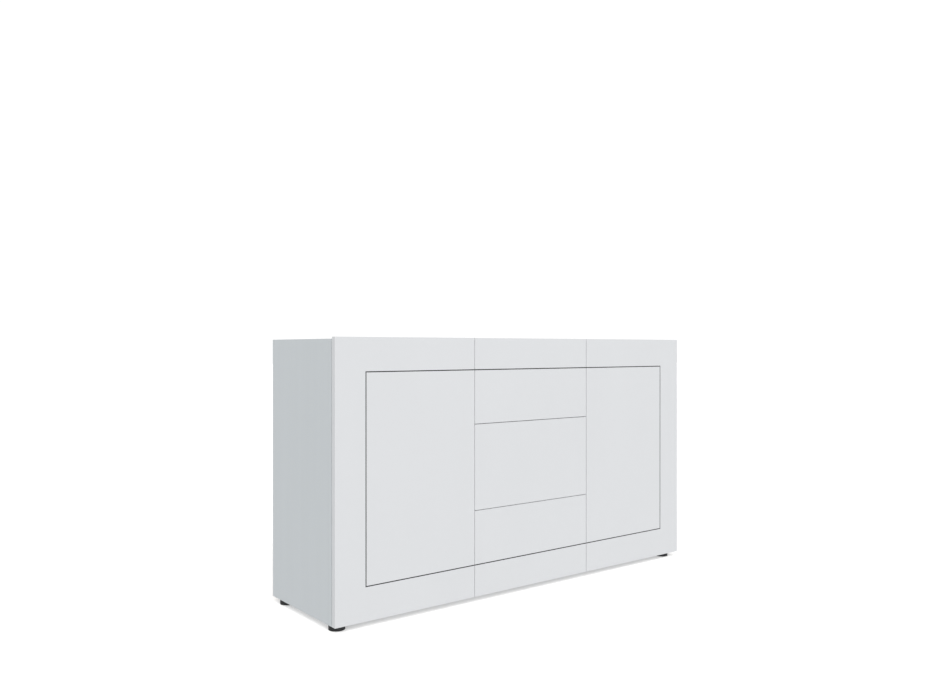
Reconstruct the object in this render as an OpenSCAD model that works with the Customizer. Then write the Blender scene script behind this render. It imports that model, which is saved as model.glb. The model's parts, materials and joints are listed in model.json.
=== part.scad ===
// Sideboard buffet: a cupboard at each side of three drawers, on low round feet.
// The origin is the centre of the footprint on the floor, with the fronts facing -Y.

/* [Overall] */
// Width over the side panels
width = 1600; // [1200:10:2000]
// Depth from the fronts to the rear edge
depth = 434; // [400:2:520]
// Height from the floor to the top of the fronts
height = 900; // [750:10:1080]

/* [Boards and fronts] */
// Thickness of the carcass boards
board_t = 18; // [15:0.5:22]
// Thickness of the doors and drawer fronts
front_t = 18; // [16:0.5:22]
// Thickness of the back panels
back_t = 3; // [2.5:0.5:5]
// Gap between neighbouring fronts
front_gap = 2; // [1.5:0.5:5]
// Gap behind the closed fronts, which lets them be pushed in
push_gap = 3; // [3:0.5:5]
// How far the fronts stand above the carcass
front_rise = 6; // [0:1:12]
// Distance from the rear edge to the back panels
back_inset = 10; // [5:1:20]

/* [Inlaid line] */
// Distance from the edge of the fronts to the middle of the line
line_inset = 108; // [60:1:130]
// Width of the line
line_w = 3.4; // [2:0.1:5]
// Depth of its groove
line_d = 2; // [2:0.5:4]
// Thickness of the strip that lies in the groove
strip_t = 1.7; // [0.5:0.1:1.9]

/* [Feet] */
// Diameter of a foot
foot_d = 52; // [40:1:64]
// Height of a foot
foot_h = 22; // [20:1:40]
// Distance from the side panel's outer face to a foot's middle
foot_from_side = 36; // [34:1:60]
// Distance from the fronts' outer face to a front foot's middle
foot_from_front = 54; // [54:1:80]
// Distance from the rear edge to a rear foot's middle
foot_from_back = 41; // [34:1:60]

/* [Shelves] */
// Thickness of a shelf
shelf_t = 18; // [15:0.5:22]
// Distance from the carcass front to a shelf
shelf_setback = 25; // [20:1:60]
// Number of the pin hole that carries the shelf, from the lowest
shelf_hole = 4; // [0:1:8]

/* [Drawers] */
// Thickness of the sides and back of a drawer box
box_t = 12; // [10:0.5:16]
// Distance from the lower edge of a drawer front to its box
box_lift = 45; // [40:1:60]
// Least distance from a drawer box to the upper edge of its front
box_drop = 50; // [46:1:80]
// Thickness of a drawer bottom
bottom_t = 5; // [3:0.5:8]
// Height of a runner
runner_h = 45; // [38:1:54]
// Room that a runner takes beside a drawer
runner_w = 12.7; // [12.5:0.1:14]

/* [Hidden] */
$fn = 48;

// Colours
white_lacquer = [0.89, 0.89, 0.9];
grey_lacquer = [0.78, 0.79, 0.8];
dark_strip = [0.1, 0.1, 0.11];
hardboard = [0.62, 0.47, 0.33];
black_plastic = [0.08, 0.08, 0.08];
grey_plastic = [0.5, 0.51, 0.52];
zinc = [0.72, 0.73, 0.75];
nickel = [0.8, 0.79, 0.76];
beech = [0.8, 0.64, 0.44];

// Faces of the carcass and the fronts
half_w = width / 2;
front_y = -depth / 2;
back_y = depth / 2;
inside_y = front_y + front_t;
carcass_y = inside_y + push_gap;
carcass_top = height - front_rise;
side_in = half_w - board_t;
floor_z = foot_h + board_t;
ceiling_z = carcass_top - board_t;
through = 1;

// Three equal columns, with a divider behind each gap between them
columns = 3;
front_w = (width - (columns - 1) * front_gap) / columns;
divider_x = (front_w + front_gap) / 2;
divider_in = divider_x - board_t / 2;
divider_out = divider_x + board_t / 2;

// Drawer fronts share the height of a door
drawers = 3;
drawer_h = (height - foot_h - (drawers - 1) * front_gap) / drawers;
BOTTOM = 0;
MIDDLE = 1;
TOP = 2;
LEFT = 0;
RIGHT = 1;

// Grooves for the back panels
groove_d = 6;
groove_play = 0.4;
panel_y = back_y - back_inset - back_t;

// Cam fittings and dowels, two of each at every board end
joint_inset = 56;
joint_ys = [carcass_y + joint_inset, back_y - joint_inset];
cam_d = 15;
cam_reach = 24;
cam_slot_w = 1.2;
cam_slot_l = 8;
cam_slot_d = 2;
bolt_d = 6;
bolt_bore_d = 7;
bolt_play = 0.4;
cam_h = (board_t + bolt_bore_d) / 2;
bolt_in = 10;
bolt_head_h = 3;
bolt_tip_gap = 2;
dowel_d = 8;
dowel_in = 11;
dowel_out = 19;
dowel_gap = 32;

// Holes that enter a board from opposite faces stop short of its middle
hole_wall = 1;
half_deep = (board_t - hole_wall) / 2;

// Shelf pins in rows of holes
pin_d = 5;
pin_in = half_deep;
pin_out = 8;
pin_pitch = 32;
pin_holes = 9;
pin_row_front = 37;
pin_row_rear = 64;
pin_ys = [carcass_y + pin_row_front, back_y - pin_row_rear];
pin_z = (floor_z + ceiling_z) / 2 - (pin_holes - 1) / 2 * pin_pitch;
shelf_z = pin_z + shelf_hole * pin_pitch + pin_d / 2;
shelf_play = 1;

// Wood screws
screw_d = 3.5;
screw_head_d = 7;
screw_head_h = 1.6;

// Foot screws
foot_screw_l = 14;
foot_screw_head_d = 8;
foot_screw_head_h = 2.5;
foot_screw_play = 1;
foot_recess_d = 12;
foot_recess_h = foot_h - 6;
foot_chamfer = 1;

// Cup hinges, whose local origin is the door's outer corner at its inner face
hinge_inset = 100;
hinge_zs = [foot_h + hinge_inset, height - hinge_inset];
cup_edge = 3.5;
cup_d = 35;
cup_x = cup_edge + cup_d / 2;
cup_depth = 11.5;
cup_wall = 1;
rim_d = 36.6;
flange_t = 1.2;
flange_w = 14;
flange_l = 60;
cup_screw_dz = 24;
cup_screw_x = 6;
cup_screw_l = 11;
plate_from_edge = 37;
plate_y = push_gap + plate_from_edge;
plate_w = 14;
plate_h = 50;
plate_wing_t = 2.5;
plate_block_l = 36;
plate_screw_dz = 16;
euro_screw_d = 5;
euro_screw_l = 12;
arm_half = 8.4;
arm_wall = 1.4;
arm_in = arm_half - arm_wall;
arm_top = 35;
arm_web = arm_top - arm_wall;
arm_lift = 1;
arm_start = 12;
arm_end = 70;
arm_pin_d = 2.5;
arm_pins = [[31.2, -5], [29.6, 5.5]];
arm_screw_d = 4;
arm_screw_l = 8;
arm_screw_dy = 11;

// Outline of an ear of the arm, seen along its pins
ear_root = arm_start + 6;
ear_low = 26.5;
ear_nose = -7.6;
ear_outline = [
    [ear_low, ear_root], [arm_web, ear_root], [arm_web, ear_nose + 1.6],
    [arm_web - 1.2, ear_nose], [arm_web - 3.2, ear_nose],
    [arm_web - 4.6, ear_nose + 1.1], [ear_low, 3]
];

// Push latches near the top of each door's free edge
latch_drop = 60;
latch_z = ceiling_z - latch_drop;
latch_w = 14;
latch_l = 62;
latch_end = 5;
latch_x = divider_out + latch_w / 2;
latch_flange_t = 3;
latch_flange_l = 30;
latch_flange_h = 36;
latch_screw_dz = 12;
latch_bore_d = 8.6;
plunger_d = 8;
plunger_tip_d = 6.5;
plunger_tip_l = 3;
plunger_l = 44;
plunger_gap = 0.3;
catch_d = 15;
catch_t = 1;

// Drawer boxes, whose height and length are the largest stock sizes that fit
box_step = 10;
box_h = floor((drawer_h - box_lift - box_drop) / box_step) * box_step;
runner_step = 50;
box_behind = 20;
box_l = floor((panel_y - inside_y - box_behind) / runner_step) * runner_step;
box_out = divider_in - runner_w;
box_in = box_out - box_t;
bottom_up = 12;
bottom_groove = 6;

// Three-part runners, with room for the balls between the sheets
runner_up = 70;
runner_y = carcass_y + 2;
sheet_t = 1.2;
outer_ball_room = 3.1;
inner_ball_room = 3;
outer_v = runner_h / 2;
outer_reach = 10;
middle_u = 4;
middle_reach = 11;
middle_v = outer_v - sheet_t - outer_ball_room;
inner_u = 6.6;
inner_v = middle_v - sheet_t - inner_ball_room;
runner_screw_inset = 48;
runner_screw_ys = [runner_screw_inset, box_l / 2, box_l - runner_screw_inset];

function drawer_z(i) = foot_h + i * (drawer_h + front_gap);
function box_z(i) = drawer_z(i) + box_lift;
function runner_z(i) = box_z(i) + runner_up;

module block(low, high) translate(low) cube(high - low);

// Mirrors a piece drawn for the left to the right
module on_side(side) mirror([side, 0, 0]) children();

module both_sides() for (side = [LEFT, RIGHT]) on_side(side) children();

// A cylinder that runs from a point towards +X or +Y
module rod_x(d, l) rotate([0, 90, 0]) cylinder(d = d, h = l);

module rod_y(d, l) rotate([-90, 0, 0]) cylinder(d = d, h = l);

// Board joints: the local +Z runs into the board end, and the cam opens towards +X
module end_joints(z)
    for (y = joint_ys) translate([-side_in, y, z]) rotate([0, 90, 0]) children();

module divider_foot_joints()
    for (y = joint_ys) translate([-divider_x, y, floor_z]) children();

module divider_head_joints()
    for (y = joint_ys) translate([-divider_x, y, ceiling_z]) rotate([180, 0, 0]) children();

module all_joints() both_sides() {
    end_joints(foot_h + board_t / 2) children();
    end_joints(carcass_top - board_t / 2) children();
    divider_foot_joints() children();
    divider_head_joints() children();
}

module dowel_place() translate([0, dowel_gap, 0]) children();

// Holes in the board end that carries the cam
module end_holes() {
    translate([board_t / 2 - cam_h, 0, cam_reach]) rod_x(cam_d, cam_h + through);
    cylinder(d = bolt_bore_d, h = cam_reach);
    dowel_place() cylinder(d = dowel_d, h = dowel_out);
}

// Holes in the face that the bolt and dowel enter
module face_holes() {
    translate([0, 0, -bolt_in]) cylinder(d = bolt_d, h = bolt_in + through);
    dowel_place() translate([0, 0, -dowel_in]) cylinder(d = dowel_d, h = dowel_in + through);
}

module cam() difference() {
    translate([board_t / 2 - cam_h, 0, cam_reach]) rod_x(cam_d, cam_h);
    cylinder(d = bolt_bore_d + bolt_play, h = cam_reach);
    for (size = [[cam_slot_l, cam_slot_w], [cam_slot_w, cam_slot_l]])
        translate([board_t / 2 - cam_slot_d, -size[0] / 2, cam_reach - size[1] / 2])
            cube([cam_slot_d + through, size[0], size[1]]);
}

module bolt() {
    neck = cam_reach - bolt_tip_gap - bolt_head_h;
    translate([0, 0, -bolt_in]) cylinder(d = bolt_d, h = bolt_in + neck);
    translate([0, 0, neck]) cylinder(d = bolt_bore_d, h = bolt_head_h);
}

module dowel() dowel_place()
    translate([0, 0, -dowel_in]) cylinder(d = dowel_d, h = dowel_in + dowel_out);

// Rows of shelf pin holes that run from a face towards +X
module pin_row(x, length)
    for (y = pin_ys, i = [0:pin_holes - 1])
        translate([x, y, pin_z + i * pin_pitch]) rod_x(pin_d, length);

module hinge_places() for (z = hinge_zs) translate([-half_w, inside_y, z]) children();

module plate_screw_places() hinge_places()
    for (dz = [-plate_screw_dz, plate_screw_dz]) translate([board_t, plate_y, dz]) children();

module latch_screw_places()
    for (dz = [-latch_screw_dz, latch_screw_dz])
        translate([-divider_out, carcass_y + latch_flange_l / 2, latch_z + dz]) children();

module runner_screw_places(i)
    for (dy = runner_screw_ys)
        translate([-divider_in, runner_y + dy, runner_z(i)]) children();

module side_board() color(grey_lacquer) difference() {
    block([-half_w, carcass_y, foot_h], [-side_in, back_y, carcass_top]);
    block([-side_in - groove_d, panel_y, floor_z - groove_d],
        [-side_in + through, panel_y + back_t + groove_play, ceiling_z + groove_d]);
    end_joints(foot_h + board_t / 2) face_holes();
    end_joints(carcass_top - board_t / 2) face_holes();
    pin_row(-side_in - pin_in, pin_in + through);
    plate_screw_places() translate([-euro_screw_l, 0, 0])
        rod_x(euro_screw_d, euro_screw_l + through);
}

module left_side_panel() side_board();

module right_side_panel() on_side(RIGHT) side_board();

module top_panel() color(grey_lacquer) difference() {
    block([-side_in, carcass_y, ceiling_z], [side_in, back_y, carcass_top]);
    block([-side_in - through, panel_y, ceiling_z - through],
        [side_in + through, panel_y + back_t + groove_play, ceiling_z + groove_d]);
    both_sides() {
        end_joints(carcass_top - board_t / 2) end_holes();
        divider_head_joints() face_holes();
    }
}

module bottom_panel() color(grey_lacquer) difference() {
    block([-side_in, carcass_y, foot_h], [side_in, back_y, floor_z]);
    block([-side_in - through, panel_y, floor_z - groove_d],
        [side_in + through, panel_y + back_t + groove_play, floor_z + through]);
    both_sides() {
        end_joints(foot_h + board_t / 2) end_holes();
        divider_foot_joints() face_holes();
    }
    foot_places() translate([0, 0, foot_h]) cylinder(d = screw_d, h = foot_screw_l);
}

module divider_board() color(grey_lacquer) difference() {
    block([-divider_out, carcass_y, floor_z], [-divider_in, back_y, ceiling_z]);
    for (x = [-divider_out - through, -divider_in - groove_d])
        block([x, panel_y, floor_z - through],
            [x + groove_d + through, panel_y + back_t + groove_play, ceiling_z + through]);
    divider_foot_joints() end_holes();
    divider_head_joints() end_holes();
    pin_row(-divider_out - through, pin_in + through);
    latch_screw_places() translate([-through, 0, 0]) rod_x(screw_d, half_deep + through);
    for (i = [BOTTOM:TOP]) runner_screw_places(i)
        translate([-half_deep, 0, 0]) rod_x(screw_d, half_deep + through);
}

module left_divider() divider_board();

module right_divider() on_side(RIGHT) divider_board();

module back_board(x0, x1) color(hardboard)
    block([x0 - groove_d + groove_play, panel_y, floor_z - groove_d + groove_play],
        [x1 + groove_d - groove_play, panel_y + back_t, ceiling_z + groove_d - groove_play]);

module left_back_panel() back_board(-side_in, -divider_out);

module centre_back_panel() back_board(-divider_in, divider_in);

module right_back_panel() on_side(RIGHT) left_back_panel();

module left_shelf() color(grey_lacquer)
    block([-side_in + shelf_play, carcass_y + shelf_setback, shelf_z],
        [-divider_out - shelf_play, panel_y - shelf_play, shelf_z + shelf_t]);

module right_shelf() on_side(RIGHT) left_shelf();

module shelf_pins() color(nickel) both_sides()
    for (y = pin_ys, x = [-side_in - pin_in, -divider_out - pin_out])
        translate([x, y, shelf_z - pin_d / 2]) rod_x(pin_d, pin_in + pin_out);

module cam_locks() color(zinc) all_joints() cam();

module cam_bolts() color(zinc) all_joints() bolt();

module dowels() color(beech) all_joints() dowel();

// Feet at the corners and under the dividers
module foot_places() both_sides() {
    for (y = [front_y + foot_from_front, back_y - foot_from_back])
        translate([-half_w + foot_from_side, y, 0]) children();
    translate([-divider_x, (carcass_y + back_y) / 2, 0]) children();
}

module feet() color(black_plastic) foot_places() difference() {
    union() {
        cylinder(d1 = foot_d - 2 * foot_chamfer, d2 = foot_d, h = foot_chamfer);
        translate([0, 0, foot_chamfer]) cylinder(d = foot_d, h = foot_h - foot_chamfer);
    }
    translate([0, 0, -through]) cylinder(d = foot_recess_d, h = foot_recess_h + through);
    cylinder(d = screw_d + foot_screw_play, h = foot_h + through);
}

module foot_screws() color(zinc) foot_places() {
    translate([0, 0, foot_recess_h - foot_screw_head_h])
        cylinder(d = foot_screw_head_d, h = foot_screw_head_h);
    translate([0, 0, foot_recess_h])
        cylinder(d = screw_d, h = foot_h - foot_recess_h + foot_screw_l);
}

module hinge_plates() color(nickel) both_sides() hinge_places() difference() {
    union() {
        translate([board_t, plate_y - plate_w / 2, -plate_h / 2])
            cube([plate_wing_t, plate_w, plate_h]);
        translate([board_t, plate_y - plate_block_l / 2, -arm_in])
            cube([arm_web - board_t, plate_block_l, 2 * arm_in]);
    }
    for (dz = [-plate_screw_dz, plate_screw_dz])
        translate([board_t - through, plate_y, dz]) rod_x(euro_screw_d, plate_wing_t + 2 * through);
    arm_screw_places() translate([-arm_screw_l, 0, 0]) rod_x(arm_screw_d, arm_screw_l);
}

module hinge_plate_screws() color(zinc) both_sides() plate_screw_places() {
    translate([-euro_screw_l, 0, 0]) rod_x(euro_screw_d, euro_screw_l + plate_wing_t);
    translate([plate_wing_t, 0, 0]) rod_x(screw_head_d, screw_head_h);
}

module arm_screw_places()
    for (dy = [-arm_screw_dy, arm_screw_dy]) translate([arm_top, plate_y + dy, 0]) children();

// Channel over the plate, and two ears that reach into the cup
module arm() {
    low = board_t + plate_wing_t + arm_lift;
    difference() {
        block([low, arm_start, -arm_half], [arm_top, arm_end, arm_half]);
        block([low - through, arm_start - through, -arm_in], [arm_web, arm_end + through, arm_in]);
        arm_screw_places() translate([-arm_wall - through, 0, 0])
            rod_x(arm_screw_d, arm_wall + 2 * through);
    }
    for (z = [-arm_in, arm_in - arm_wall]) translate([0, 0, z])
        linear_extrude(arm_wall) difference() {
            polygon(ear_outline);
            for (pin = arm_pins) translate(pin) circle(d = arm_pin_d);
        }
    for (pin = arm_pins) translate([pin[0], pin[1], -arm_in])
        cylinder(d = arm_pin_d, h = 2 * arm_in);
}

module hinge_arms() color(nickel) both_sides() hinge_places() arm();

module arm_screws() color(zinc) both_sides() hinge_places() arm_screw_places() {
    translate([-arm_screw_l, 0, 0]) rod_x(arm_screw_d, arm_screw_l);
    rod_x(screw_head_d, screw_head_h);
}

module latch_body() {
    block([-divider_out - latch_w, carcass_y, latch_z - latch_w / 2],
        [-divider_out, carcass_y + latch_l, latch_z + latch_w / 2]);
    block([-divider_out - latch_flange_t, carcass_y, latch_z - latch_flange_h / 2],
        [-divider_out, carcass_y + latch_flange_l, latch_z + latch_flange_h / 2]);
}

module latch_housings() color(grey_plastic) both_sides() difference() {
    latch_body();
    translate([-latch_x, carcass_y - through, latch_z])
        rod_y(latch_bore_d, latch_l - latch_end + through);
    latch_screw_places() translate([-latch_flange_t - through, 0, 0])
        rod_x(screw_d, latch_flange_t + 2 * through);
}

module latch_screws() color(zinc) both_sides() latch_screw_places() {
    translate([-latch_flange_t, 0, 0]) rod_x(screw_d, latch_flange_t + half_deep);
    translate([-latch_flange_t - screw_head_h, 0, 0]) rod_x(screw_head_d, screw_head_h);
}

// One bent sheet of a runner: a web with a flange at each edge, at distance u from the divider
module channel(u_web, u_flange, v) linear_extrude(box_l) difference() {
    translate([min(u_web, u_flange), -v]) square([abs(u_web - u_flange) + sheet_t, 2 * v]);
    translate([u_web < u_flange ? u_web + sheet_t : u_flange - through, sheet_t - v])
        square([abs(u_web - u_flange) + through, 2 * (v - sheet_t)]);
}

// Runner parts lie along +Y, with the divider's face at u = 0
module runner_place(i) both_sides()
    translate([-divider_in, runner_y, runner_z(i)]) rotate([-90, 0, 0]) mirror([0, 1, 0]) children();

module runner_cabinet_members() color(zinc) difference() {
    for (i = [BOTTOM:TOP]) runner_place(i) channel(0, outer_reach - sheet_t, outer_v);
    both_sides() for (i = [BOTTOM:TOP]) runner_screw_places(i)
        translate([-through, 0, 0]) rod_x(screw_d, sheet_t + 2 * through);
}

module runner_screws() color(zinc) both_sides() for (i = [BOTTOM:TOP]) runner_screw_places(i) {
    translate([-half_deep, 0, 0]) rod_x(screw_d, half_deep + sheet_t);
    translate([sheet_t, 0, 0]) rod_x(screw_head_d, screw_head_h);
}

module intermediate_members(i) color(zinc)
    runner_place(i) channel(middle_u, middle_reach - sheet_t, middle_v);

module drawer_members(i) color(zinc)
    runner_place(i) channel(runner_w - sheet_t, inner_u, inner_v);

// The line runs round all the fronts together, so each front carries its own stretch
module line_cut(thickness, y) {
    x = half_w - line_inset;
    for (z = [foot_h + line_inset, height - line_inset])
        translate([-x - line_w / 2, y, z - line_w / 2]) cube([2 * x + line_w, thickness, line_w]);
    for (sx = [-x, x])
        translate([sx - line_w / 2, y, foot_h + line_inset])
            cube([line_w, thickness, height - foot_h - 2 * line_inset]);
}

module line_groove() translate([0, -through, 0]) line_cut(line_d + through, front_y);

module line_strip() line_cut(strip_t, front_y + line_d - strip_t);

module door_block() block([-half_w, front_y, foot_h], [-half_w + front_w, inside_y, height]);

module door() color(white_lacquer) difference() {
    door_block();
    line_groove();
    hinge_places() {
        translate([cup_x, -cup_depth, 0]) rod_y(cup_d, cup_depth + through);
        for (dz = [-cup_screw_dz, cup_screw_dz])
            translate([cup_x + cup_screw_x, -cup_screw_l, dz]) rod_y(screw_d, cup_screw_l + through);
    }
}

module door_inlay() color(dark_strip) intersection() {
    door_block();
    line_strip();
}

module cup() difference() {
    union() {
        translate([cup_x, -cup_depth, 0]) rod_y(cup_d, cup_depth);
        translate([cup_x, 0, 0]) rod_y(rim_d, flange_t);
        translate([cup_x + cup_screw_x - flange_w / 2, 0, -flange_l / 2])
            cube([flange_w, flange_t, flange_l]);
    }
    translate([cup_x, cup_wall - cup_depth, 0]) rod_y(cup_d - 2 * cup_wall, cup_depth + 2 * flange_t);
    for (dz = [-cup_screw_dz, cup_screw_dz])
        translate([cup_x + cup_screw_x, -through, dz]) rod_y(screw_d, flange_t + 2 * through);
}

module hinge_cups() color(nickel) hinge_places() cup();

module cup_screws() color(zinc) hinge_places()
    for (dz = [-cup_screw_dz, cup_screw_dz]) translate([cup_x + cup_screw_x, 0, dz]) {
        translate([0, -cup_screw_l, 0]) rod_y(screw_d, cup_screw_l + flange_t);
        translate([0, flange_t, 0]) rod_y(screw_head_d, screw_head_h);
    }

module catch_plate() color(zinc)
    translate([-latch_x, inside_y, latch_z]) rod_y(catch_d, catch_t);

module latch_plunger() color(black_plastic)
    translate([-latch_x, inside_y + catch_t + plunger_gap, latch_z]) {
        rod_y(plunger_tip_d, plunger_tip_l);
        translate([0, plunger_tip_l, 0]) rod_y(plunger_d, plunger_l - plunger_tip_l);
    }

module left_door() door();

module left_door_inlay() door_inlay();

module left_hinge_cups() hinge_cups();

module left_cup_screws() cup_screws();

module left_catch_plate() catch_plate();

module left_latch_plunger() latch_plunger();

module right_door() on_side(RIGHT) door();

module right_door_inlay() on_side(RIGHT) door_inlay();

module right_hinge_cups() on_side(RIGHT) hinge_cups();

module right_cup_screws() on_side(RIGHT) cup_screws();

module right_catch_plate() on_side(RIGHT) catch_plate();

module right_latch_plunger() on_side(RIGHT) latch_plunger();

module drawer_block(i)
    block([-front_w / 2, front_y, drawer_z(i)], [front_w / 2, inside_y, drawer_z(i) + drawer_h]);

module drawer_bottom_block(i, side_play)
    block([-box_in - bottom_groove + side_play, inside_y - bottom_groove + side_play,
            box_z(i) + bottom_up],
        [box_in + bottom_groove - side_play, inside_y + box_l - box_t,
            box_z(i) + bottom_up + bottom_t]);

module drawer_front(i) color(white_lacquer) difference() {
    drawer_block(i);
    line_groove();
    drawer_bottom_block(i, 0);
}

module drawer_inlay(i) color(dark_strip) intersection() {
    drawer_block(i);
    line_strip();
}

module drawer_side(i) color(white_lacquer) difference() {
    block([-box_out, inside_y, box_z(i)], [-box_in, inside_y + box_l, box_z(i) + box_h]);
    drawer_bottom_block(i, 0);
}

module drawer_back(i) color(white_lacquer)
    block([-box_in, inside_y + box_l - box_t, box_z(i)],
        [box_in, inside_y + box_l, box_z(i) + box_h]);

module drawer_bottom(i) color(white_lacquer) drawer_bottom_block(i, groove_play);

left_side_panel();
right_side_panel();
top_panel();
bottom_panel();
left_divider();
right_divider();
left_back_panel();
centre_back_panel();
right_back_panel();
left_shelf();
right_shelf();
shelf_pins();
cam_locks();
cam_bolts();
dowels();
feet();
foot_screws();
hinge_plates();
hinge_plate_screws();
hinge_arms();
arm_screws();
latch_housings();
latch_screws();
runner_cabinet_members();
runner_screws();
left_door();
left_door_inlay();
left_hinge_cups();
left_cup_screws();
left_catch_plate();
left_latch_plunger();
right_door();
right_door_inlay();
right_hinge_cups();
right_cup_screws();
right_catch_plate();
right_latch_plunger();
drawer_front(BOTTOM);  // bottom_drawer_front
drawer_inlay(BOTTOM);  // bottom_drawer_inlay
drawer_side(BOTTOM);  // bottom_drawer_left_side
on_side(RIGHT) drawer_side(BOTTOM);  // bottom_drawer_right_side
drawer_back(BOTTOM);  // bottom_drawer_back
drawer_bottom(BOTTOM);  // bottom_drawer_bottom
drawer_members(BOTTOM);  // bottom_drawer_runner_members
intermediate_members(BOTTOM);  // bottom_intermediate_members
drawer_front(MIDDLE);  // middle_drawer_front
drawer_side(MIDDLE);  // middle_drawer_left_side
on_side(RIGHT) drawer_side(MIDDLE);  // middle_drawer_right_side
drawer_back(MIDDLE);  // middle_drawer_back
drawer_bottom(MIDDLE);  // middle_drawer_bottom
drawer_members(MIDDLE);  // middle_drawer_runner_members
intermediate_members(MIDDLE);  // middle_intermediate_members
drawer_front(TOP);  // top_drawer_front
drawer_inlay(TOP);  // top_drawer_inlay
drawer_side(TOP);  // top_drawer_left_side
on_side(RIGHT) drawer_side(TOP);  // top_drawer_right_side
drawer_back(TOP);  // top_drawer_back
drawer_bottom(TOP);  // top_drawer_bottom
drawer_members(TOP);  // top_drawer_runner_members
intermediate_members(TOP);  // top_intermediate_members
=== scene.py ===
"""The looks of a sideboard buffet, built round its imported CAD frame."""

import json
import math

import bmesh
import bpy
from mathutils import Matrix, Vector

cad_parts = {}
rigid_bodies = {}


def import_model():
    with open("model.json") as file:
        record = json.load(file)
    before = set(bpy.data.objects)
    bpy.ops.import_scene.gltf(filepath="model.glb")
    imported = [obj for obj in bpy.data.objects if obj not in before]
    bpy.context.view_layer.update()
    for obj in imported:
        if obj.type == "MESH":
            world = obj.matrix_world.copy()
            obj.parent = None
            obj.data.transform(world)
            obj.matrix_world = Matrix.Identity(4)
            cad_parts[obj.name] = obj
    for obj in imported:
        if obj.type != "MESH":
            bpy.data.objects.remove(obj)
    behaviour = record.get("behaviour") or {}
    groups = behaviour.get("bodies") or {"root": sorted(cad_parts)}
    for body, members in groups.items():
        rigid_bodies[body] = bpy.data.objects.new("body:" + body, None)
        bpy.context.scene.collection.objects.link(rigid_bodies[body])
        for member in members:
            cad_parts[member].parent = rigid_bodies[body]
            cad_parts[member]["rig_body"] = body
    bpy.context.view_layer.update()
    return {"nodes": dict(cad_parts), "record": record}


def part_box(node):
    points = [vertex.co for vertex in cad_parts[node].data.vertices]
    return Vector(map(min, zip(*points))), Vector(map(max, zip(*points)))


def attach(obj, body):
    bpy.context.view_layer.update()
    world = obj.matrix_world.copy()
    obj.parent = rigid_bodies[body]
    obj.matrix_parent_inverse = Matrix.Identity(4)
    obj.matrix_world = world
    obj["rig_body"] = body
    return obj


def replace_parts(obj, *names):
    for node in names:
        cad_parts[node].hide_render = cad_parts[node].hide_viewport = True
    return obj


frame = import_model()

MM = 0.001
WHOLE_TURN = 2 * math.pi
# Points closer than this are one point
SAME_POINT = 0.001 * MM
# Most that two equal sizes differ by
NEARLY = 0.01 * MM

# ---------------------------------------------------------------- materials

# A noise's values lie mostly between these
NOISE_LOW = 0.3
NOISE_HIGH = 0.7
# The colour sockets of a mix node, which shares their names with its other kinds
MIX_A = 6
MIX_B = 7
MIX_RESULT = 2


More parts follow.
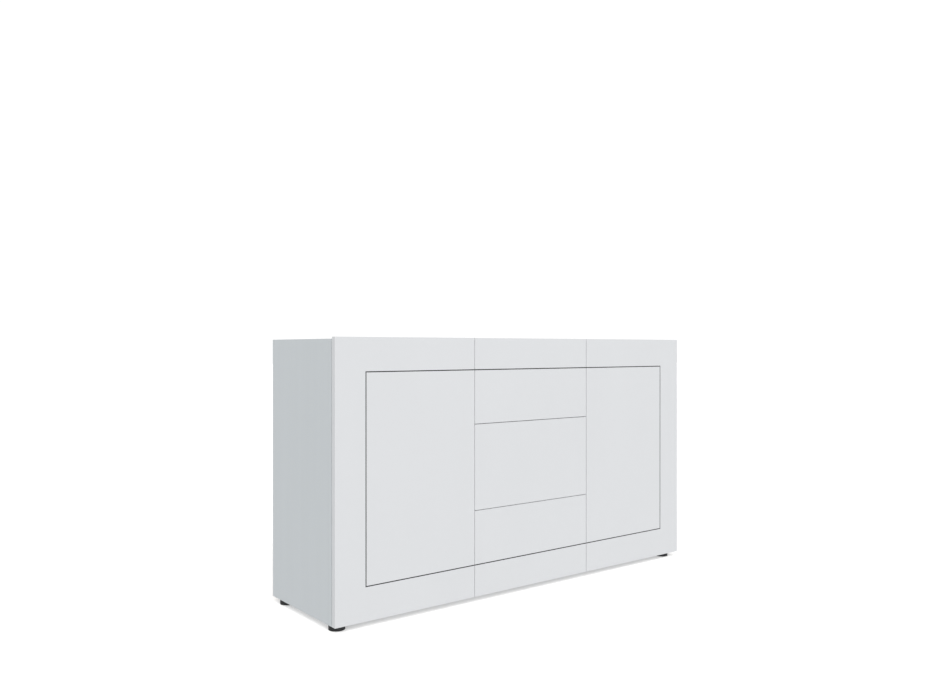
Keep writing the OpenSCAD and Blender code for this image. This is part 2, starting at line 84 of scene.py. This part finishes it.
class Nodes:
    """A material's node tree, with short calls for the nodes that the finishes share."""

    def __init__(self, name):
        self.material = bpy.data.materials.new(name)
        self.material.use_nodes = True
        self.tree = self.material.node_tree
        self.shader = self.tree.nodes["Principled BSDF"]
        self.place = self.node("ShaderNodeTexCoord")

    def node(self, kind, **inputs):
        made = self.tree.nodes.new(kind)
        for key, value in inputs.items():
            made.inputs[key.replace("_", " ")].default_value = value
        return made

    def link(self, out, into):
        self.tree.links.new(out, into)

    def scaled(self, size):
        """Object coordinates stretched so that a pattern of scale 1 has the given size in metres."""
        mapping = self.node("ShaderNodeMapping")
        mapping.inputs["Scale"].default_value = [1 / s for s in size]
        self.link(self.place.outputs["Object"], mapping.inputs["Vector"])
        return mapping.outputs["Vector"]

    def noise(self, size, detail=3.0, rough=0.5):
        made = self.node("ShaderNodeTexNoise", Scale=1.0, Detail=detail, Roughness=rough)
        self.link(self.scaled(size), made.inputs["Vector"])
        return made.outputs["Fac"]

    def cells(self, size):
        made = self.node("ShaderNodeTexVoronoi", Scale=1.0)
        self.link(self.scaled(size), made.inputs["Vector"])
        return made

    def ramp(self, fac, stops):
        made = self.node("ShaderNodeValToRGB")
        elements = made.color_ramp.elements
        while len(elements) < len(stops):
            elements.new(0.5)
        for element, (at, colour) in zip(elements, stops):
            element.position = at
            element.color = (*colour, 1)
        self.link(fac, made.inputs["Fac"])
        return made.outputs["Color"]

    def shades(self, fac, colour, dark, light):
        """A colour that a noise makes darker and lighter, by two factors."""
        return self.ramp(fac, ((NOISE_LOW, tint(colour, dark)), (NOISE_HIGH, tint(colour, light))))

    def span(self, fac, low, high):
        """A value that a noise takes from low to high."""
        made = self.node("ShaderNodeMapRange", From_Min=NOISE_LOW, From_Max=NOISE_HIGH)
        made.inputs["To Min"].default_value = low
        made.inputs["To Max"].default_value = high
        self.link(fac, made.inputs["Value"])
        return made.outputs["Result"]

    def mix(self, fac, a, b):
        made = self.node("ShaderNodeMix")
        made.data_type = "RGBA"
        self.link(fac, made.inputs["Factor"])
        self.link(a, made.inputs[MIX_A])
        self.link(b, made.inputs[MIX_B])
        return made.outputs[MIX_RESULT]

    def maths(self, operation, a, b):
        made = self.node("ShaderNodeMath")
        made.operation = operation
        for socket, value in zip(made.inputs, (a, b)):
            if isinstance(value, (int, float)):
                socket.default_value = value
            else:
                self.link(value, socket)
        return made.outputs[0]

    def facing_y(self, sign):
        """1 on faces that look along Y, or against it where the sign is -1, and 0 on the others."""
        least_cosine = 0.9
        split = self.node("ShaderNodeSeparateXYZ")
        self.link(self.place.outputs["Normal"], split.inputs[0])
        signed = self.maths("MULTIPLY", split.outputs["Y"], sign)
        return self.maths("GREATER_THAN", signed, least_cosine)

    def bump(self, height, strength, distance):
        made = self.node("ShaderNodeBump", Strength=strength, Distance=distance)
        self.link(height, made.inputs["Height"])
        self.link(made.outputs["Normal"], self.shader.inputs["Normal"])

    def colour(self, out):
        self.link(out, self.shader.inputs["Base Color"])

    def rough(self, out):
        self.link(out, self.shader.inputs["Roughness"])

    def set(self, **values):
        for key, value in values.items():
            self.shader.inputs[key.replace("_", " ")].default_value = value
        return self


def tint(colour, by):
    return tuple(min(1.0, c * by) for c in colour)


def even(size):
    """A pattern's size, the same along each axis."""
    return (size, size, size)


def orange_peel(m, size):
    """The fine unevenness that spraying leaves."""
    m.bump(m.noise(even(size), 2.0), 0.12, 0.02 * MM)


def lacquer(name, colour, roughness, clouds, coat):
    """Sprayed lacquer: a fine orange peel, a faint cloudiness and small changes of gloss."""
    cloud_size = (250 * MM, 250 * MM, 400 * MM)
    gloss_size = even(50 * MM)
    gloss_change = 0.03
    m = Nodes(name).set(Coat_Weight=coat, Coat_Roughness=0.25, Specular_IOR_Level=0.35)
    m.colour(m.shades(m.noise(cloud_size, 2.0), colour, 1 - clouds, 1 + clouds))
    m.rough(m.span(m.noise(gloss_size, 4.0), roughness - gloss_change, roughness + gloss_change))
    orange_peel(m, 1.4 * MM)
    return m


def chipboard(m):
    """Colour of pressed wood chips, for sawn edges that carry no edging."""
    chips = m.cells((2.2 * MM, 2.2 * MM, 1.1 * MM))
    flakes = m.noise((3 * MM, 3 * MM, 1.4 * MM), 5.0)
    brown = m.ramp(chips.outputs["Distance"], ((0.1, (0.50, 0.36, 0.21)), (0.8, (0.30, 0.19, 0.10))))
    pale = m.ramp(flakes, ((0.35, (0.62, 0.47, 0.29)), (0.65, (0.36, 0.24, 0.13))))
    return m.mix(chips.outputs["Color"], brown, pale)


def carcass_lacquer():
    """Grey-white lacquer whose darker, bluer tone is partly its own grey and partly painted shade of the
    sides, with faint broad upright bands, and raw chipboard on the rear edges.
    """
    # Darker and bluer than the front white: partly the panels' own grey, partly painted shade and cool fill
    # that stand in for how light falls on the sides
    grey_and_painted_side_shade = (0.703, 0.736, 0.752)
    m = Nodes("carcass_lacquer").set(Coat_Weight=0.1, Coat_Roughness=0.3, Specular_IOR_Level=0.3)
    bands = m.noise((26 * MM, 26 * MM, 700 * MM), 2.0)
    face = m.shades(bands, grey_and_painted_side_shade, 0.991, 1.009)
    m.colour(m.mix(m.facing_y(1), face, chipboard(m)))
    m.rough(m.span(bands, 0.41, 0.47))
    orange_peel(m, 1.6 * MM)
    return m


def hardboard():
    """Brown pressed fibre with short strands behind, and a white printed face inside the cabinet."""
    print_white = (0.70, 0.715, 0.725)
    dark_brown = (0.30, 0.185, 0.10)
    brown = (0.42, 0.28, 0.165)
    light_brown = (0.55, 0.40, 0.26)
    m = Nodes("hardboard").set(Specular_IOR_Level=0.2)
    strands = m.noise((9 * MM, 9 * MM, 1.2 * MM), 6.0, 0.7)
    clouds = m.noise(even(60 * MM), 3.0)
    fibre = m.ramp(strands, ((0.3, dark_brown), (0.55, brown), (0.75, light_brown)))
    patch = m.ramp(clouds, ((0.35, (0.38, 0.25, 0.145)), (0.65, (0.44, 0.30, 0.185))))
    board = m.mix(m.span(clouds, 0.2, 0.5), fibre, patch)
    printed = m.shades(strands, print_white, 0.97, 1.02)
    m.colour(m.mix(m.facing_y(-1), board, printed))
    m.rough(m.span(strands, 0.55, 0.8))
    m.bump(strands, 0.35, 0.1 * MM)
    return m


def melamine(name, colour):
    """Matt melamine with a faint pearl texture."""
    m = Nodes(name).set(Specular_IOR_Level=0.3)
    pearl = m.noise(even(2.5 * MM), 3.0)
    m.colour(m.shades(pearl, colour, 0.975, 1.02))
    m.rough(m.span(pearl, 0.48, 0.6))
    m.bump(pearl, 0.25, 0.05 * MM)
    return m


def plastic(name, colour, roughness):
    """Moulded plastic with a spark-eroded grain."""
    gloss_change = 0.06
    m = Nodes(name).set(Specular_IOR_Level=0.4)
    grain = m.noise(even(0.5 * MM), 4.0)
    wear = m.noise(even(12 * MM), 3.0)
    m.colour(m.shades(wear, colour, 0.85, 1.2))
    m.rough(m.span(wear, roughness - gloss_change, roughness + gloss_change))
    m.bump(grain, 0.3, 0.04 * MM)
    return m


def plated(name, colour, roughness, streak=1.0):
    """Plated steel with faint stains, drawn out along Y by the streak's length."""
    grain = 0.3 * MM
    m = Nodes(name).set(Metallic=1.0)
    drawn = m.noise((grain, grain * streak, grain), 4.0, 0.6)
    stain = m.noise(even(18 * MM), 4.0)
    m.colour(m.shades(stain, colour, 0.9, 1.06))
    m.rough(m.span(stain, roughness - 0.06, roughness + 0.08))
    m.bump(drawn, 0.12, 0.03 * MM)
    return m


def beech():
    """Turned beech with short dark rays."""
    m = Nodes("beech")
    rays = m.noise((4 * MM, 0.6 * MM, 0.6 * MM), 5.0)
    m.colour(m.ramp(rays, ((0.35, (0.50, 0.33, 0.18)), (0.65, (0.72, 0.53, 0.34)))))
    m.rough(m.span(rays, 0.5, 0.7))
    m.bump(rays, 0.4, 0.1 * MM)
    return m


FRONT_WHITE = (0.800, 0.805, 0.816)
FINISHES = {
    "front_lacquer": lacquer("front_lacquer", FRONT_WHITE, 0.36, 0.006, 0.25),
    "carcass_lacquer": carcass_lacquer(),
    "drawer_melamine": melamine("drawer_melamine", (0.74, 0.745, 0.74)),
    "hardboard": hardboard(),
    "dark_inlay": plastic("dark_inlay", (0.016, 0.016, 0.018), 0.5),
    "black_plastic": plastic("black_plastic", (0.026, 0.026, 0.027), 0.5),
    "grey_plastic": plastic("grey_plastic", (0.30, 0.31, 0.32), 0.42),
    "zinc_steel": plated("zinc_steel", (0.62, 0.63, 0.65), 0.3),
    "runner_steel": plated("runner_steel", (0.66, 0.67, 0.69), 0.3, 60),
    "nickel_steel": plated("nickel_steel", (0.70, 0.68, 0.65), 0.24, 40),
    "beech": beech(),
}
FINISHES = {slot: made.material for slot, made in FINISHES.items()}

# ---------------------------------------------------------------- CAD nodes

# Radius of each finish's rounded edges, in millimetres
ROUNDING = {
    "front_lacquer": 0.35,
    "carcass_lacquer": 0.6,
    "drawer_melamine": 0.6,
    "hardboard": 0.2,
    "black_plastic": 0.6,
    "grey_plastic": 0.5,
    "zinc_steel": 0.15,
    "runner_steel": 0.2,
    "nickel_steel": 0.25,
}


def round_edges(piece, radius):
    """Joins the vertices that the frame's file splits, then rounds every sharp edge."""
    sharp = 40
    weld = piece.modifiers.new("weld", "WELD")
    weld.merge_threshold = SAME_POINT
    bevel = piece.modifiers.new("rounding", "BEVEL")
    bevel.width = radius
    bevel.segments = 3
    bevel.limit_method = "ANGLE"
    bevel.angle_limit = math.radians(sharp)
    bevel.harden_normals = True


def dress(piece, slot):
    piece.data.materials.clear()
    piece.data.materials.append(FINISHES[slot])


for part in frame["record"]["subparts"]:
    cad = frame["nodes"][part["node"]]
    dress(cad, part["material_slot"])
    if part["material_slot"] in ROUNDING:
        round_edges(cad, ROUNDING[part["material_slot"]] * MM)

# ---------------------------------------------------------------- tools for the fittings

# Thickness of the runners' sheet steel
SHEET = 1.2 * MM


def corners(points):
    """The lowest and the highest corner of the box round some points."""
    low = Vector([min(p[i] for p in points) for i in range(3)])
    high = Vector([max(p[i] for p in points) for i in range(3)])
    return low, high


def solids(node):
    """The points of each separate solid of a CAD node, in the order of their places."""
    shape = bmesh.new()
    shape.from_mesh(frame["nodes"][node].data)
    bmesh.ops.remove_doubles(shape, verts=shape.verts, dist=SAME_POINT)
    shape.verts.ensure_lookup_table()
    waiting = set(range(len(shape.verts)))
    found = []
    while waiting:
        group = [waiting.pop()]
        for index in group:
            vert = shape.verts[index]
            for edge in vert.link_edges:
                other = edge.other_vert(vert).index
                if other in waiting:
                    waiting.remove(other)
                    group.append(other)
        found.append([shape.verts[index].co.copy() for index in group])
    shape.free()
    return sorted(found, key=lambda points: [round(c, 5) for c in corners(points)[0]])


def pointing(origin, out):
    """A place whose local Z points out of a surface."""
    return Matrix.Translation(origin) @ Vector(out).to_track_quat("Z", "Y").to_matrix().to_4x4()


def unit(axis, sign):
    return Vector([sign if i == axis else 0 for i in range(3)])


def spin(shape, rings, place, around=24, hollow=False):
    """Adds a turned shape through rings of (radius, height), with ends, or joined last to first."""
    loops = []
    for radius, height in rings:
        loop = []
        for k in range(around):
            angle = WHOLE_TURN * k / around
            r = radius(angle) if callable(radius) else radius
            loop.append(shape.verts.new(place @ Vector((r * math.cos(angle), r * math.sin(angle), height))))
        loops.append(loop)
    following = loops[1:] + loops[:1] if hollow else loops[1:]
    for upper, lower in zip(loops, following):
        for k in range(around):
            near = (k + 1) % around
            shape.faces.new((upper[k], upper[near], lower[near], lower[k]))
    if not hollow:
        shape.faces.new(loops[0])
        shape.faces.new(loops[-1])


def crossed(half):
    """The outline of a cross recess, as its reach at each angle, for arms of a half length."""
    quarter = WHOLE_TURN / 4
    arm = math.radians(15)
    just_past_arm = 1.01 * arm

    def reach(angle):
        turn = angle % quarter
        off = min(turn, quarter - turn)
        return half / math.cos(off) if off < just_past_arm else half * math.tan(arm) / math.sin(off)

    return reach


def head_rings(radius, height):
    """A pan head with a cross recess, from the bottom of the recess to the rim, with its top at 0."""
    half = 0.56 * radius
    return [
        (crossed(0.5 * half), -0.7 * height),
        (crossed(half), 0),
        (0.68 * radius, 0),
        (0.86 * radius, -0.12 * height),
        (0.96 * radius, -0.38 * height),
        (radius, -0.7 * height),
        (radius, -height),
    ]


def add_screw(shape, points):
    """A screw with a recessed pan head and a thread, where a plain CAD one lies."""
    pitch = 1.4 * MM
    thread = 0.35 * MM
    low, high = corners(points)
    size = high - low
    axis = max(range(3), key=lambda i: size[i])
    middle = (low + high) / 2

    def off_axis(point):
        across = point - middle
        across[axis] = 0
        return across.length

    widths = {
        sign: max(off_axis(p) for p in points if abs(p[axis] - end) < NEARLY)
        for sign, end in ((-1, low[axis]), (1, high[axis]))
    }
    sign = max(widths, key=widths.get)
    radius, shank = widths[sign], widths[-sign]
    rim = [p[axis] for p in points if off_axis(p) > 0.98 * radius]
    height = max(rim) - min(rim)
    origin = middle.copy()
    origin[axis] = high[axis] if sign > 0 else low[axis]
    rings = head_rings(radius, height)
    for turn in range(int((size[axis] - height) / pitch)):
        start = -height - turn * pitch
        rings += [
            (shank, start - 0.2 * pitch),
            (shank, start - 0.35 * pitch),
            (shank - thread, start - 0.7 * pitch),
        ]
    tip = 0.4 * shank
    rings.append((tip, -size[axis]))
    spin(shape, rings, pointing(origin, unit(axis, sign)))


def add_cap(shape, place, radius, height):
    """A plastic cap over a cam, with a soft rim and a small cross recess."""
    half = 0.3 * radius
    rings = [
        (crossed(0.8 * half), 0.45 * height),
        (crossed(half), height),
        (0.45 * radius, height),
        (0.8 * radius, 0.93 * height),
        (0.94 * radius, 0.7 * height),
        (radius, 0.35 * height),
        (radius, 0),
    ]
    spin(shape, rings, place)


def sweep(shape, outline, place, length):
    """Adds an outline in local X and Z, drawn out along local Y."""
    ends = [[shape.verts.new(place @ Vector((x, y, z))) for x, z in outline] for y in (0, length)]
    for k in range(len(outline)):
        near = (k + 1) % len(outline)
        shape.faces.new((ends[0][k], ends[0][near], ends[1][near], ends[1][k]))
    for end in ends:
        shape.faces.new(end)


def piece_from(shape, name, body, slot):
    """Turns a bmesh into a piece that rides a body, with its normals out and its curves smooth."""
    smooth_below = 35
    bmesh.ops.recalc_face_normals(shape, faces=shape.faces)
    mesh = bpy.data.meshes.new(name)
    shape.to_mesh(mesh)
    shape.free()
    mesh.shade_smooth()
    mesh.set_sharp_from_angle(angle=math.radians(smooth_below))
    piece = bpy.data.objects.new(name, mesh)
    bpy.context.scene.collection.objects.link(piece)
    dress(piece, slot)
    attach(piece, body)
    return piece


# ---------------------------------------------------------------- fittings


def cut_screws(node):
    shape = bmesh.new()
    for points in solids(node):
        add_screw(shape, points)
    piece = piece_from(shape, node + "_cut", frame["nodes"][node]["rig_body"], "zinc_steel")
    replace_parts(piece, node)


def turned_feet():
    """Moulded feet: a shallow groove above the glide, and a recess for the screw underneath."""
    top_round = 0.6 * MM
    groove_z = 4 * MM
    groove_h = 0.7 * MM
    groove_d = 0.35 * MM
    chamfer = 1 * MM
    rim = 5 * MM
    hollow = 0.6 * MM
    lip = 3 * MM
    mouth = 0.4 * MM
    shape = bmesh.new()
    for points in solids("feet"):
        low, high = corners(points)
        middle = (low + high) / 2
        radii = {p: math.hypot(p.x - middle.x, p.y - middle.y) for p in map(Vector.freeze, points)}
        outer = max(radii.values())
        height = high.z - low.z
        recess = min(r for p, r in radii.items() if p.z < low.z + NEARLY)
        recess_top = max(p.z for p, r in radii.items() if abs(r - recess) < 10 * NEARLY) - low.z
        hole = min(radii.values())
        rings = [
            (hole, height),
            (outer - top_round, height),
            (outer - top_round / 4, height - top_round / 3),
            (outer, height - top_round),
            (outer, groove_z + groove_h),
            (outer - groove_d, groove_z + 0.7 * groove_h),
            (outer - groove_d, groove_z + 0.3 * groove_h),
            (outer, groove_z),
            (outer, chamfer),
            (outer - 0.3 * chamfer, 0.3 * chamfer),
            (outer - chamfer, 0),
            (outer - rim, 0),
            (outer - rim - hollow, hollow),
            (recess + lip + hollow, hollow),
            (recess + lip, 0),
            (recess + mouth, 0),
            (recess, mouth),
            (recess, recess_top),
            (hole, recess_top),
        ]
        spin(shape, rings, Matrix.Translation((middle.x, middle.y, low.z)), around=72, hollow=True)
    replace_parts(piece_from(shape, "moulded_feet", "carcass", "black_plastic"), "feet")


def cam_caps():
    """Caps over the cams, which open down from the top and bottom panels, and inwards from the dividers."""
    radius = 9 * MM
    height = 1.2 * MM
    shape = bmesh.new()
    for points in solids("cam_locks"):
        low, high = corners(points)
        size = high - low
        axis = min(range(3), key=lambda i: size[i])
        middle = (low + high) / 2
        out = unit(2, -1) if axis == 2 else unit(0, -math.copysign(1, middle.x))
        origin = middle + out * size[axis] / 2
        add_cap(shape, pointing(origin, out), radius, height)
    piece_from(shape, "cam_caps", "carcass", "grey_plastic")


def catch_disc(side):
    """The steel disc that the latch plunger meets, held by a countersunk screw."""
    node = side + "_catch_plate"
    low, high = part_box(node)
    radius = (high.x - low.x) / 2
    height = high.y - low.y
    middle = (low + high) / 2
    rings = [
        (crossed(0.12 * radius), -0.8 * height),
        (crossed(0.26 * radius), -0.25 * height),
        (0.34 * radius, -0.25 * height),
        (0.4 * radius, -0.3 * height),
        (0.46 * radius, 0),
        (0.93 * radius, 0),
        (radius, -0.3 * height),
        (radius, -height),
    ]
    shape = bmesh.new()
    spin(shape, rings, pointing(Vector((middle.x, high.y, middle.z)), (0, 1, 0)), around=48)
    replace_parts(piece_from(shape, side + "_catch_disc", side + "_door", "zinc_steel"), node)


def ball_row(shape, a, b, start, length, side):
    """Balls and their cage between the flanges of two runner members, on the upper or lower side."""
    spacing = 14 * MM
    clearance = 0.05 * MM
    narrow, wide = sorted((box[1].z - box[0].z) / 2 for box in (a, b))
    gap = wide - SHEET - narrow
    x = (max(a[0].x, b[0].x) + min(a[1].x, b[1].x)) / 2
    z = (a[0].z + a[1].z) / 2 + side * (narrow + gap / 2)
    radius = gap / 2 - clearance
    for n in range(int(length / spacing)):
        centre = Matrix.Translation((x, start + (n + 0.5) * spacing, z))
        bmesh.ops.create_uvsphere(shape, u_segments=12, v_segments=8, radius=radius, matrix=centre)
    half = 2.2 * MM
    lip = 0.9 * MM
    wall = 0.4 * MM
    outline = [
        (-half, -lip), (-half, wall / 2), (half, wall / 2), (half, -lip),
        (half - wall, -lip), (half - wall, -wall / 2), (wall - half, -wall / 2), (wall - half, -lip),
    ]
    sweep(shape, outline, Matrix.Translation((x, start, z)), length)


def ball_cages(drawer):
    """Cages that stay between the members over the whole travel: the outer rows at the rear."""
    row = 0.42
    front_start = 0.04
    rear_start = 0.54
    shape = bmesh.new()
    middles = [corners(points) for points in solids(drawer + "_intermediate_members")]
    inners = [corners(points) for points in solids(drawer + "_drawer_runner_members")]
    outers = [corners(points) for points in solids("runner_cabinet_members")]
    for middle, inner in zip(middles, inners):
        level = (middle[0].z + middle[1].z) / 2
        outer = next(
            box for box in outers
            if box[0].z < level < box[1].z and box[0].x * middle[0].x > 0
        )
        front = middle[0].y
        length = middle[1].y - front
        for side in (-1, 1):
            ball_row(shape, outer, middle, front + rear_start * length, row * length, side)
            ball_row(shape, middle, inner, front + front_start * length, row * length, side)
    piece_from(shape, drawer + "_ball_cages", drawer + "_intermediate_members", "zinc_steel")


def runner_fixings(drawer):
    """Pan-head screws that hold a drawer's runner members, seen inside their channels."""
    radius = 3.2 * MM
    height = 1.3 * MM
    inset = 34 * MM
    shape = bmesh.new()
    for points in solids(drawer + "_drawer_runner_members"):
        low, high = corners(points)
        out = -1 if low.x < 0 else 1
        web = high.x - SHEET if low.x < 0 else low.x + SHEET
        for y in (low.y + inset, (low.y + high.y) / 2, high.y - inset):
            place = pointing(Vector((web + out * height, y, (low.z + high.z) / 2)), (out, 0, 0))
            spin(shape, head_rings(radius, height), place)
    piece_from(shape, drawer + "_runner_fixings", drawer + "_drawer", "zinc_steel")


def drawer_caps(drawer):
    """Caps over the cams that hold a drawer's sides to its front."""
    radius = 8 * MM
    height = 0.8 * MM
    inset = 24 * MM
    edge = 34 * MM
    shape = bmesh.new()
    for side, out in (("left", 1), ("right", -1)):
        low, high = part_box(f"{drawer}_drawer_{side}_side")
        x = high.x if out > 0 else low.x
        for z in (low.z + edge, high.z - edge):
            add_cap(shape, pointing(Vector((x, low.y + inset, z)), (out, 0, 0)), radius, height)
    piece_from(shape, drawer + "_drawer_caps", drawer + "_drawer", "grey_plastic")


for screws in (
    "runner_screws", "latch_screws", "hinge_plate_screws", "arm_screws", "foot_screws",
    "left_cup_screws", "right_cup_screws",
):
    cut_screws(screws)
turned_feet()
cam_caps()
for side in ("left", "right"):
    catch_disc(side)
for drawer in ("bottom", "middle", "top"):
    ball_cages(drawer)
    runner_fixings(drawer)
    drawer_caps(drawer)

# ---------------------------------------------------------------- camera, floor and light

# The lens, place and turn that give the object's perspective, with the camera almost level
LENS = 32.385
CAMERA_PLACE = (-2.0488, -2.4977, 0.8643)
CAMERA_PITCH = 90 - 0.106
CAMERA_HEADING = -38.018


def make_camera():
    data = bpy.data.cameras.new("camera")
    data.lens = LENS
    data.sensor_width = 36
    data.clip_end = 100
    camera = bpy.data.objects.new("camera", data)
    camera.location = CAMERA_PLACE
    camera.rotation_euler = (math.radians(CAMERA_PITCH), 0, math.radians(CAMERA_HEADING))
    bpy.context.scene.collection.objects.link(camera)
    bpy.context.scene.camera = camera


def shader(tree, kind, colour, strength=None):
    """A plain diffuse, emission or background shader."""
    made = tree.nodes.new(kind)
    made.inputs["Color"].default_value = (*colour, 1)
    if strength is not None:
        made.inputs["Strength"].default_value = strength
    return made


def added(tree, a, b):
    both = tree.nodes.new("ShaderNodeAddShader")
    tree.links.new(a.outputs[0], both.inputs[0])
    tree.links.new(b.outputs[0], both.inputs[1])
    return both


def seen_or_lit(tree, seen, lit):
    """Mixes two shaders: one that the camera sees, and one that lights and mirrors use."""
    path = tree.nodes.new("ShaderNodeLightPath")
    mix = tree.nodes.new("ShaderNodeMixShader")
    tree.links.new(path.outputs["Is Camera Ray"], mix.inputs[0])
    tree.links.new(lit.outputs[0], mix.inputs[1])
    tree.links.new(seen.outputs[0], mix.inputs[2])
    return mix.outputs[0]


def make_floor():
    """A pale floor that bounces less light than it shows, so the fronts stay even."""
    half = 40
    outline = [(x * half, y * half, 0) for x, y in ((-1, -1), (1, -1), (1, 1), (-1, 1))]
    mesh = bpy.data.meshes.new("floor")
    mesh.from_pydata(outline, [], [(0, 1, 2, 3)])
    floor = bpy.data.objects.new("floor", mesh)
    material = bpy.data.materials.new("floor")
    material.use_nodes = True
    tree = material.node_tree
    tree.nodes.clear()
    shaded = shader(tree, "ShaderNodeBsdfDiffuse", (0.53, 0.525, 0.52))
    glow = shader(tree, "ShaderNodeEmission", (1, 0.995, 0.99), 0.28)
    bounce = shader(tree, "ShaderNodeBsdfDiffuse", (0.15, 0.153, 0.156))
    fill = shader(tree, "ShaderNodeEmission", (0.97, 0.985, 1), 0.33)
    out = tree.nodes.new("ShaderNodeOutputMaterial")
    surface = seen_or_lit(tree, added(tree, shaded, glow), added(tree, bounce, fill))
    tree.links.new(surface, out.inputs["Surface"])
    mesh.materials.append(material)
    bpy.context.scene.collection.objects.link(floor)
    return floor


def make_world(strength, tone):
    """A white backdrop for the camera, and a softer one that lights the object."""
    world = bpy.data.worlds.new("studio")
    bpy.context.scene.world = world
    world.use_nodes = True
    tree = world.node_tree
    tree.nodes.clear()
    seen = shader(tree, "ShaderNodeBackground", (1, 1, 1), 1.05)
    lit = shader(tree, "ShaderNodeBackground", tone, strength)
    out = tree.nodes.new("ShaderNodeOutputWorld")
    tree.links.new(seen_or_lit(tree, seen, lit), out.inputs["Surface"])


def sun(name, towards, strength, spread):
    """A very soft light from one direction: towards is the way that the light travels."""
    data = bpy.data.lights.new(name, "SUN")
    data.energy = strength
    data.angle = math.radians(spread)
    lamp = bpy.data.objects.new(name, data)
    lamp.rotation_euler = Vector(towards).to_track_quat("-Z", "Y").to_euler()
    bpy.context.scene.collection.objects.link(lamp)
    return lamp


def light_only(lamp, receiver):
    group = bpy.data.collections.new(lamp.name + "_receivers")
    group.objects.link(receiver)
    lamp.light_linking.receiver_collection = group


make_camera()
floor = make_floor()
make_world(strength=0.745, tone=(0.985, 0.995, 1.0))
sun("key", towards=(0.25, 1.0, -0.25), strength=1.0, spread=50)
light_only(sun("floor_light", towards=(0.6, 1.0, -0.66), strength=8.2, spread=64), floor)
bpy.context.scene.view_settings.view_transform = "Standard"
